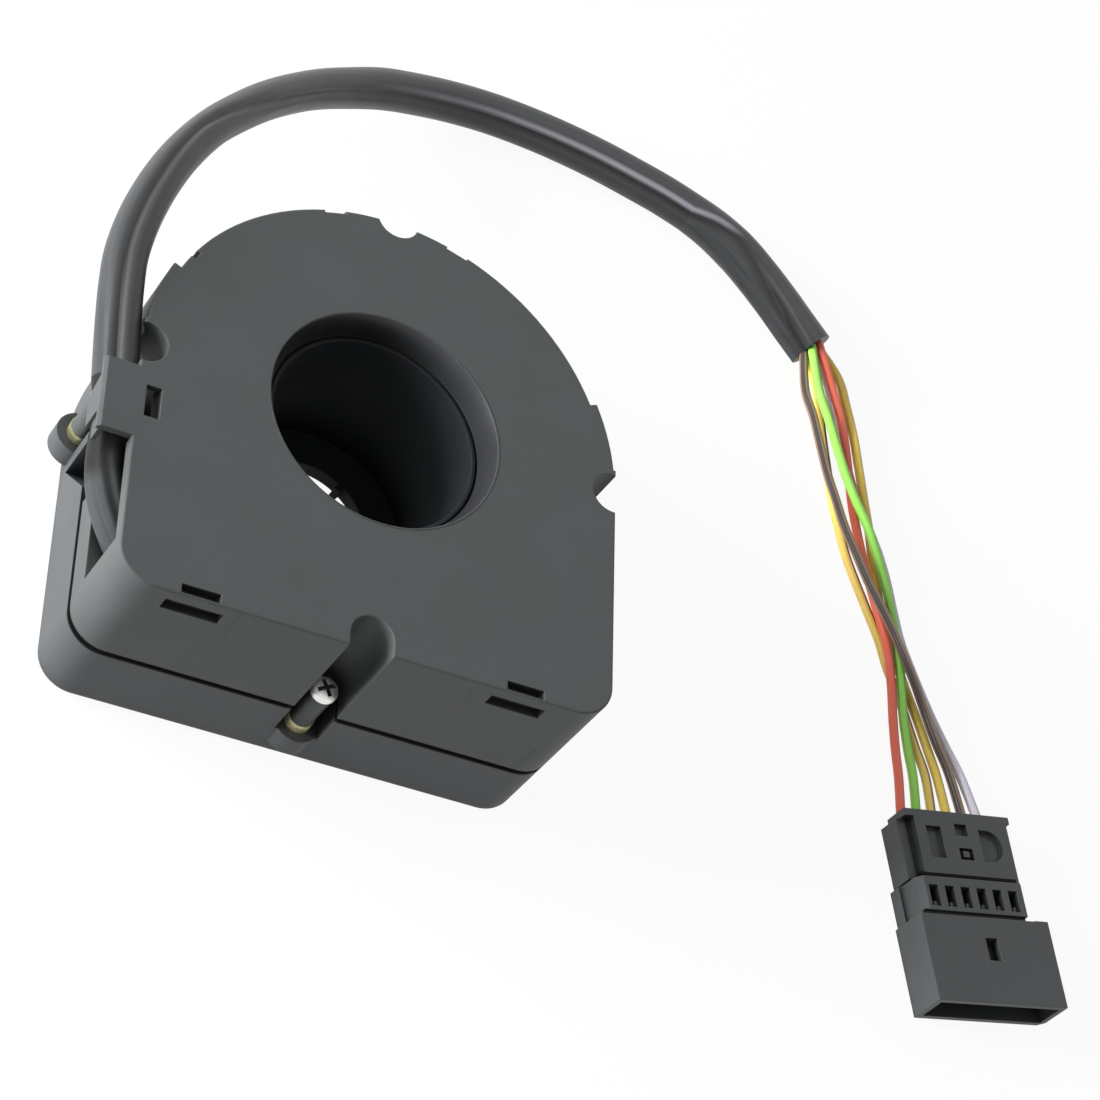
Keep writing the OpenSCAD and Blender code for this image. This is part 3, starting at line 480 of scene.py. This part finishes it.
# Dark steel: painted shade in the screws' cross recesses
RECESS_SHADE_STEEL = metal("recess shade steel", (0.16, 0.16, 0.15), 0.5)
INSERT_BRASS = metal("insert brass", (0.88, 0.85, 0.5), 0.45)
CONTACT_METAL = metal("contact metal", (0.8, 0.76, 0.66), 0.3)
JACKET_RUBBER = jacket_rubber("jacket rubber", (0.03, 0.032, 0.034), 0.4)
INNER_RUBBER = jacket_rubber("inner rubber", (0.03, 0.032, 0.034), 0.58, hollow_reach=6 * MM)


# Cable jacket, from the clip to the sleeve
JACKET_ROUTE = to_metres([
    (-33, -3.7, 22.9), (-33.5, -0.2, 23.7), (-34, 3.4, 24.6), (-34.4, 7.8, 25.4),
    (-34.4, 12.5, 25.9), (-33.5, 17.8, 26.2), (-31.9, 23.2, 26), (-29.8, 28.6, 25.3),
    (-27.2, 34, 24.1), (-24, 39.6, 22.5), (-20.2, 45.2, 20.3), (-16, 50.8, 17.9),
    (-11.4, 56.3, 15.1), (-6.4, 61.6, 12.2), (-1, 66.4, 9.4), (5, 70.7, 7.1),
    (11, 73.9, 5.1), (17, 76.1, 3.8), (23, 77.3, 3.1), (29, 77.5, 2.9),
    (35, 77.1, 2.9), (41, 76.3, 2.9), (47, 75.1, 2.9), (51.4, 74.1, 2.9), (55.6, 72.8, 2.9)])
SLEEVE_ROUTE = to_metres([
    (55.6, 72.8, 2.9), (59.6, 71, 2.98), (63.6, 68.3, 3.06), (67, 65.1, 3.1),
    (70.1, 61.8, 3.1), (72.9, 58.5, 3.1), (75.6, 55.4, 3.1)])
INNER_ROUTE = to_metres([
    (-33, -3.7, 22.9), (-32.1, -8, 21.8), (-32, -13.7, 20.3), (-30.9, -17.8, 19.2),
    (-28.8, -21.6, 18.4), (-26, -24.8, 17.2), (-22.6, -26.9, 16.4), (-19, -27.4, 16.2)])
EXIT_HEADING = (-0.16, 0.964, 0.213)
SLEEVE_IN_HEADING = (0.955, -0.295, 0)
SLEEVE_OUT_HEADING = (0.676, -0.737, 0)
PLUG_HEADING = (math.sin(PLUG_YAW), -math.cos(PLUG_YAW), 0)


def dent(angle, middle, half_width):
    """1 at the middle of a groove round a tube, falling smoothly to 0 beside it."""
    gap = (angle - middle + math.pi) % math.tau - math.pi
    return math.exp(-((gap / half_width) ** 2))


def between(share, table):
    """Reads a table of (share, value) pairs, with straight lines between them."""
    for (s0, v0), (s1, v1) in zip(table, table[1:]):
        if share <= s1:
            return v0 + (v1 - v0) * (share - s0) / (s1 - s0)
    return table[-1][1]


# Half the jacket's width and the angle of its crease along the way, and the same inside the clip
JACKET_WIDTHS = ((0, 2.8), (0.16, 2.65), (0.32, 2.4), (0.5, 2.6), (0.64, 3.05), (1, 3.15))
CREASE_ANGLES = ((0, 112), (0.2, 102), (0.28, 104), (0.42, 50), (0.5, 41), (0.8, 36), (1, 40))
# Where along the way the painted highlight beside the crease shows, and its angle from the crease
RIDGE_HIGHLIGHT_SHARES = ((0, 0), (0.58, 0), (0.7, 0.9), (0.93, 1), (1, 0.9))
HIGHLIGHT_FROM_CREASE = 21
INNER_WIDTHS = ((0, 2.8), (0.3, 2.5), (1, 2.5))
# Painted shadow under the clip's roof, along the inner run
PAINTED_SHADOW_UNDER_CLIP = ((0, 1), (0.35, 1), (0.45, 0), (1, 0))


def jacket_section(share, angle):
    depth = dent(angle, math.radians(between(share, CREASE_ANGLES)), math.radians(13))
    thin = 1 - 0.2 * depth
    # Painted highlight on the ridge beside the crease
    middle = math.radians(between(share, CREASE_ANGLES) + HIGHLIGHT_FROM_CREASE)
    highlight = dent(angle, middle, math.radians(8)) * between(share, RIDGE_HIGHLIGHT_SHARES)
    return between(share, JACKET_WIDTHS) * MM * thin, JACKET_R * 0.97 * thin, depth, highlight


def inner_section(share, angle):
    depth = dent(angle, math.radians(70), math.radians(14))
    thin = 1 - 0.12 * depth
    # Painted shade: the crease, and the shadow under the clip's roof
    dark = max(depth, between(share, PAINTED_SHADOW_UNDER_CLIP))
    return between(share, INNER_WIDTHS) * MM * thin, JACKET_R * 0.97 * thin, dark, 0


# The flattened end of the jacket: where its fold runs, how deep and wide it is, and how flat it lies
FOLD_ANGLES = ((0, 40), (0.15, 62), (0.3, 76), (0.45, 68), (0.6, 54), (0.8, 40), (1, 22))
# Where along the way the painted highlight beside the fold shows
SLEEVE_HIGHLIGHT_SHARES = ((0, 0.9), (0.2, 0.7), (0.34, 0), (1, 0))
FOLD_DEPTHS = ((0, 0.2), (0.15, 0.16), (0.35, 0.26), (0.6, 0.34), (1, 0.4))
FOLD_WIDTHS = ((0, 13), (0.3, 19), (1, 27))
SLEEVE_WIDTHS = ((0, 3.15), (0.3, 3.55), (1, 3.5))
SLEEVE_HEIGHTS = ((0, 2.716), (0.3, 2.92), (1, 2.945))
FLAT_SHARES = ((0, 1), (0.2, 0.88), (1, 0.8))
FLAT_ANGLES = ((0, 38), (0.4, 24), (1, -8))


def sleeve_section(share, angle):
    fold = dent(angle, math.radians(between(share, FOLD_ANGLES)), math.radians(between(share, FOLD_WIDTHS)))
    turned = angle - math.radians(between(share, FLAT_ANGLES))
    flat = between(share, FLAT_SHARES) / max(0.05, math.cos(turned))
    thin = min(1, flat) * (1 - between(share, FOLD_DEPTHS) * fold)
    # Painted highlight beside the fold
    middle = math.radians(between(share, FOLD_ANGLES) + HIGHLIGHT_FROM_CREASE)
    highlight = dent(angle, middle, math.radians(8)) * between(share, SLEEVE_HIGHLIGHT_SHARES)
    return between(share, SLEEVE_WIDTHS) * MM * thin, between(share, SLEEVE_HEIGHTS) * MM * thin, fold, highlight


def make_cable():
    line = smooth_line(JACKET_ROUTE, 1 * MM)
    jacket = finish_piece("cable_sheath", sweep(line, jacket_section, 56, EXIT_HEADING, SLEEVE_IN_HEADING),
                          JACKET_RUBBER)
    sleeve_line = smooth_line(SLEEVE_ROUTE, 0.8 * MM)
    sleeve = finish_piece("cable_sleeve",
                          sweep(sleeve_line, sleeve_section, 56, SLEEVE_IN_HEADING, SLEEVE_OUT_HEADING,
                                line_length(line)), JACKET_RUBBER)
    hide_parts("cable_jacket")
    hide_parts("end_sleeve")
    inner_line = smooth_line(INNER_ROUTE, 1 * MM)
    inner = finish_piece("cable_inner",
                         sweep(inner_line, inner_section, 40, [-x for x in EXIT_HEADING], (1, 0, 0)),
                         INNER_RUBBER)
    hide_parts("cable_inner_run")


make_cable()


# The six wires, from the sleeve to the connector
def sleeve_face(u, z):
    end = SLEEVE_ROUTE[-1]
    return Vector((end.x - SLEEVE_OUT_HEADING[1] * u * MM, end.y + SLEEVE_OUT_HEADING[0] * u * MM, z * MM))


def wire_entry(i):
    return PLUG_MATRIX @ Vector((CONTACT_MID_U + (i - 2.5) * CONTACT_PITCH, PLUG_END_V, CONTACT_Z))


# Each wire: its place on the sleeve's face, its route, its contact, and its paint
WIRES = {
    "red": ((0.78, 4.3), [
        (78.8, 49.7, 3.3), (80.5, 45, 2.8), (81.6, 39.4, 2.3),
        (82.1, 34.5, 2.1), (82.5, 30.2, 2.1), (83.6, 24, 2.1), (84.7, 19.4, 2.1),
        (85.9, 14.8, 2.1), (87.2, 10.3, 2.1), (87.6, 6.4, 2.1), (87.8, 2.5, 2.1),
        (87.9, -2.2, 2), (88.1, -6.9, 2), (88.3, -11.3, 2.2)], 0,
        dict(colour=(0.82, 0.14, 0.08))),
    "green": ((-0.78, 4.3), [
        (76.4, 48.3, 3.7), (78, 43.7, 3.5), (79.4, 38.8, 3.5),
        (80.6, 34.9, 3.5), (82.1, 31.1, 3.5), (84.2, 26.8, 3.4), (85.8, 23.1, 2.9),
        (87.3, 19.7, 2.2), (88.2, 15.5, 2.1), (88.8, 10.8, 2.1), (89.3, 6.9, 2.1),
        (89.4, 3, 2.1), (89.6, -1.7, 2), (90.1, -6.3, 2), (90.6, -10.6, 2.2)], 1,
        dict(colour=(0.27, 0.66, 0.09))),
    "yellow_brown": ((-0.78, 1.7), [
        (77.2, 52.1, 1.2), (78.1, 47.3, 0.9), (78.7, 42.4, 0.7),
        (79.3, 37.3, 0.7), (80, 32.1, 0.7), (81, 27.3, 0.7), (82, 23.3, 0.7),
        (83.5, 19.3, 0.7), (85.1, 15.4, 0.7), (86.9, 11, 0.7), (88.1, 6.8, 0.7),
        (89.7, 3, 0.7), (90.9, -1, 0.8), (92, -5.2, 1.1), (92.9, -9.7, 1.8)], 2,
        dict(colour=(0.78, 0.55, 0.12), stripe=(0.2, 0.1, 0.05), angle=120)),
    "yellow_black": ((1.5, 3), [
        (80.5, 52.5, 2.4), (82, 48, 2.1), (83.1, 43.1, 2),
        (83.7, 38.1, 2.1), (84.3, 32.7, 2.2), (85.1, 27.9, 2), (85.8, 24.2, 1.4),
        (86.8, 20.4, 0.7), (87.5, 16.1, 0.7), (88.6, 11.5, 0.7), (89.9, 7.4, 0.7),
        (91.3, 3.5, 0.7), (92.7, -0.4, 0.8), (93.9, -4.7, 1.1), (94.8, -9.1, 1.7)], 3,
        dict(colour=(0.82, 0.6, 0.1), stripe=(0.03, 0.03, 0.03), angle=150)),
    "brown": ((-1.56, 3), [
        (74.8, 48.2, 2.6), (76.1, 43.9, 2.6), (77.1, 38.9, 2.7),
        (78, 34.3, 2.9), (79.1, 30.3, 3.1), (80.2, 26, 3.4), (82, 21.8, 3.5),
        (83.8, 17.8, 3.5), (85.7, 14.2, 3.6), (87.5, 10.7, 3.6), (89.1, 7.2, 3.6),
        (90.9, 3.8, 3.2), (92.7, 0.2, 2.6), (94.3, -4, 2.5), (96.3, -8.4, 2.4)], 4,
        dict(colour=(0.25, 0.16, 0.1), stripe=(0.04, 0.03, 0.03), angle=40)),
    "white_violet": ((0.78, 1.7), [
        (79.2, 52.5, 1.2), (80.6, 47.9, 0.9), (81.8, 43.1, 0.7),
        (82.8, 38.2, 0.7), (84.1, 33.5, 0.7), (86, 29, 0.7), (87.5, 25.1, 0.7),
        (88.6, 21, 0.7), (89.4, 16.8, 0.7), (90.4, 12.1, 0.7), (91.9, 8, 0.7),
        (93.5, 4.2, 0.7), (95.2, 0.3, 0.8), (97, -3.7, 1.1), (98.6, -8, 1.8)], 5,
        dict(colour=(0.74, 0.7, 0.78), stripe=(0.28, 0.14, 0.62), angle=145)),
}


def add_block(bm, low, high, place=Matrix(), edge=0.06 * MM):
    """A box between two corners in a frame of its own, with small bevels."""
    size = Vector(high) - Vector(low)
    shape = Matrix.Translation((Vector(high) + Vector(low)) / 2) @ Matrix.Diagonal((*size, 1))
    made = bmesh.ops.create_cube(bm, size=1, matrix=place @ shape)["verts"]
    edges = list({e for v in made for e in v.link_edges})
    bmesh.ops.bevel(bm, geom=edges, affect="EDGES", offset=edge, segments=2, profile=0.5, material=-1)


def make_plug_details():
    """The lances seen in the six windows, and a black strip in front of the rear cover, painted shade in the gap
    there.
    """
    bm = bmesh.new()
    for i in range(6):
        u = CONTACT_MID_U + (i - 2.5) * CONTACT_PITCH
        add_block(bm, (u + 0.1 * MM, WINDOW_V + 0.25 * MM, 3 * MM), (u + 0.62 * MM, WINDOW_V + 1 * MM, 5.3 * MM),
                  PLUG_MATRIX)
        add_block(bm, (u - 0.45 * MM, WINDOW_V + 1.9 * MM, 3 * MM), (u + 0.25 * MM, WINDOW_V + 2.2 * MM, 4.4 * MM),
                  PLUG_MATRIX)
    lances = finish_piece("contact_lances", bm, LANCE_PLASTIC)
    # A black strip that stands for the shade in the gap before the rear cover
    bm = bmesh.new()
    add_block(bm, (-7.6 * MM, REAR_V + 0.12 * MM, REAR_TOP_Z - 0.3 * MM),
              (8.2 * MM, REAR_V + 0.62 * MM, REAR_TOP_Z + 0.04 * MM), PLUG_MATRIX, 0.02 * MM)
    gap_shade = finish_piece("rear_cover_gap_shade", bm, PAINTED_GAP_SHADE)
    return [lances, gap_shade]


def make_wires():
    on_end = [nodes[n] for n in ("connector_housing", "contact_carrier", "contacts", "connector_rear_cover")]
    on_end += make_plug_details()
    for name, (start, middle, contact, paint) in WIRES.items():
        points = [sleeve_face(*start)] + to_metres(middle) + [wire_entry(contact)]
        line = smooth_line(points, 0.5 * MM)
        bm = sweep(line, lambda share, angle: (WIRE_R, WIRE_R, 0, 0), 16, SLEEVE_OUT_HEADING, PLUG_HEADING)
        wire = finish_piece("insulated_wire_" + name, bm, wire_insulation("insulation " + name, **paint))
        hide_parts("wire_" + name)


make_wires()


# The housing's small details
SCREW_PROFILE = ((0, 7.3), (1, 7.3), (1, 13.3), (1.75, 13.3), (1.75, 13.75), (1.62, 14.05), (1.25, 14.27),
                 (0.7, 14.38), (0, 14.4))
RECESS_HALF_WIDTH = 0.27 * MM
RECESS_REACH = 1.2 * MM
RECESS_DEPTH = 0.8 * MM
LIP_PROFILE = ((15.35, 27.03), (15.14, 27.01), (15, 26.85), (14.07, 23.87), (14.07, 23.6), (14.3, 23.6),
               (15.35, 26.8))
# Each mould line: its two ends on the lower wall, x and z
MOULD_LINES = (((-16.2, 26.4), (-16, 14)), ((13.7, 25.3), (14, 20.1)), ((26.7, 16.8), (25.7, 12)))


def spin_profile(bm, profile, steps, closed=False):
    """Turns a profile of (radius, height) pairs, in millimetres, round the rotor's axis."""
    verts = [bm.verts.new((r * MM, 0, z * MM)) for r, z in profile]
    pairs = list(zip(verts, verts[1:]))
    if closed:
        pairs.append((verts[-1], verts[0]))
    edges = [bm.edges.new(pair) for pair in pairs]
    bmesh.ops.spin(bm, geom=verts + edges, cent=(0, 0, 0), axis=(0, 0, 1), angle=math.tau, steps=steps,
                   use_merge=True)
    bmesh.ops.remove_doubles(bm, verts=bm.verts, dist=1e-7)
    bmesh.ops.recalc_face_normals(bm, faces=bm.faces)


def in_cross(point):
    across, along = sorted((abs(point.x), abs(point.y)))
    return across < RECESS_HALF_WIDTH and along < RECESS_REACH


def make_screws():
    """Four domed screws with a cross recess, one in each channel."""
    bm = bmesh.new()
    spin_profile(bm, SCREW_PROFILE, 28)
    for axis in ((1, 0, 0), (0, 1, 0)):
        for reach in (RECESS_HALF_WIDTH, -RECESS_HALF_WIDTH, RECESS_REACH, -RECESS_REACH):
            bmesh.ops.bisect_plane(bm, geom=bm.verts[:] + bm.edges[:] + bm.faces[:],
                                   plane_co=Vector(axis) * reach, plane_no=axis)
    top = [f for f in bm.faces if f.calc_center_median().z > HEAD_TOP_Z - 0.4 * MM
           and in_cross(f.calc_center_median())]
    made = bmesh.ops.extrude_face_region(bm, geom=top)["geom"]
    old = [f for f in top if f.is_valid]
    bmesh.ops.delete(bm, geom=old, context="FACES_ONLY")
    low = [g for g in made if isinstance(g, bmesh.types.BMVert)]
    for vert in low:
        vert.co = (vert.co.x * 0.72, vert.co.y * 0.72, HEAD_TOP_Z - RECESS_DEPTH)
        # The recess faces take the dark steel, as painted shade
        for face in vert.link_faces:
            face.material_index = 1
    bmesh.ops.rotate(bm, verts=bm.verts, matrix=Matrix.Rotation(math.radians(27), 3, "Z"))
    bmesh.ops.translate(bm, verts=bm.verts, vec=(SCREW_CIRCLE_R, 0, 0))
    first = bm.verts[:] + bm.edges[:] + bm.faces[:]
    for quarter in (1, 2, 3):
        copied = bmesh.ops.duplicate(bm, geom=first)["geom"]
        bmesh.ops.rotate(bm, verts=[g for g in copied if isinstance(g, bmesh.types.BMVert)],
                         matrix=Matrix.Rotation(math.radians(90 * quarter), 3, "Z"))
    screws = finish_piece("cross_head_screws", bm, SCREW_STEEL)
    screws.data.materials.append(RECESS_SHADE_STEEL)
    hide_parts("housing_screws")


def make_lip():
    """The polished slope round the rotor's opening."""
    bm = bmesh.new()
    spin_profile(bm, LIP_PROFILE, 96, closed=True)
    finish_piece("rotor_opening_lip", bm, LIP_PLASTIC)


def make_mould_lines():
    """Fine raised lines that the mould left on the lower wall."""
    bm = bmesh.new()
    for ends in MOULD_LINES:
        a, b = (Vector((x * MM, BOTTOM_Y, z * MM)) for x, z in ends)
        along = (b - a).normalized()
        out = Vector((0, -1, 0))
        turn = Matrix((along, out, along.cross(out))).transposed().to_4x4()
        half = (b - a).length / 2
        add_block(bm, (-half, -0.05 * MM, -0.07 * MM), (half, 0.04 * MM, 0.07 * MM),
                  Matrix.Translation((a + b) / 2) @ turn, 0.02 * MM)
    finish_piece("mould_lines", bm, BASE_PLASTIC)


make_screws()
make_lip()
make_mould_lines()

# Finishes of the CAD nodes that show as they are
NODE_FINISHES = {
    "base_housing": BASE_PLASTIC, "front_cover": COVER_PLASTIC, "threaded_inserts": INSERT_BRASS,
    "rotor_hub": ROTOR_PLASTIC, "rotor_disc": DISC_PLASTIC,
    "wiper_a": CONTACT_METAL, "wiper_b": CONTACT_METAL, "main_board": BOARD_LACQUER,
    "track_board": BOARD_LACQUER, "microcontroller": CHIP_PLASTIC, "bus_transceiver": CHIP_PLASTIC,
    "voltage_regulator": CHIP_PLASTIC, "crystal": SCREW_STEEL, "chip_capacitors": CAPACITOR_CERAMIC,
    "board_link_pins": CONTACT_METAL, "wire_header": DISC_PLASTIC, "connector_housing": PLUG_PLASTIC,
    "contact_carrier": CARRIER_PLASTIC, "contacts": CONTACT_METAL, "connector_rear_cover": PLUG_PLASTIC,
}
for node_name, finish in NODE_FINISHES.items():
    slots = nodes[node_name].data.materials
    if len(slots):
        slots[0] = finish
    else:
        slots.append(finish)


# Floor, light and background
def seen_rays(tree):
    """1 for the rays that see the background: camera, glossy and transmission rays."""
    path = add(tree, "LightPath")
    return maths(tree, "MAXIMUM", path.outputs["Is Camera Ray"],
                 maths(tree, "MAXIMUM", path.outputs["Is Glossy Ray"], path.outputs["Is Transmission Ray"]))


def shows_white(tree, lit, strength):
    """Mixes a lit shader towards plain white for rays that see it as background."""
    seen = seen_rays(tree)
    white = add(tree, "Emission", Strength=1.0)
    white.inputs["Color"].default_value = (1, 1, 1, 1)
    mixed = add(tree, "MixShader")
    tree.links.new(maths(tree, "MULTIPLY", seen, strength), mixed.inputs[0])
    tree.links.new(lit, mixed.inputs[1])
    tree.links.new(white.outputs["Emission"], mixed.inputs[2])
    return mixed.outputs["Shader"]


def make_floor():
    bm = bmesh.new()
    bmesh.ops.create_grid(bm, x_segments=1, y_segments=1, size=3)
    bmesh.ops.translate(bm, verts=bm.verts, vec=(0, 0, -0.05 * MM))
    mesh = bpy.data.meshes.new("floor")
    bm.to_mesh(mesh)
    bm.free()
    material, tree, shader = new_material("floor white", (0.9, 0.9, 0.9), 0.9)
    output = tree.nodes["Material Output"]
    tree.links.new(shows_white(tree, shader.outputs["BSDF"], 0.93), output.inputs["Surface"])
    mesh.materials.append(material)
    link_object("floor", mesh)


def make_world():
    world = bpy.data.worlds.new("studio")
    bpy.context.scene.world = world
    world.use_nodes = True
    tree = world.node_tree
    soft = tree.nodes["Background"]
    soft.inputs["Color"].default_value = (0.96, 0.98, 1, 1)
    soft.inputs["Strength"].default_value = SOFT_LIGHT
    white = add(tree, "Background", Strength=1.0)
    white.inputs["Color"].default_value = (1, 1, 1, 1)
    mixed = add(tree, "MixShader")
    tree.links.new(seen_rays(tree), mixed.inputs[0])
    tree.links.new(soft.outputs["Background"], mixed.inputs[1])
    tree.links.new(white.outputs["Background"], mixed.inputs[2])
    tree.links.new(mixed.outputs["Shader"], tree.nodes["World Output"].inputs["Surface"])


def add_lamp(name, place, target, size, watts, glossy=True):
    data = bpy.data.lights.new(name, "AREA")
    data.shape = "SQUARE"
    data.size = size
    data.energy = watts
    lamp = bpy.data.objects.new(name, data)
    lamp.visible_glossy = glossy
    bpy.context.scene.collection.objects.link(lamp)
    look = (Vector(target) - Vector(place)).to_track_quat("-Z", "Y")
    lamp.matrix_world = Matrix.Translation(place) @ look.to_matrix().to_4x4()


make_floor()
make_world()
add_lamp("lamp left", LEFT_PLACE, (0, 0, 0), 0.45, LEFT_WATTS, glossy=False)
add_lamp("lamp left gloss", GLOSS_PLACE, (0, 0, 0), 0.3, GLOSS_WATTS)
add_lamp("lamp above", (0.25, 0.45, 0.8), (0, 0, 0), 0.5, TOP_WATTS)

bpy.context.scene.view_settings.view_transform = "Standard"
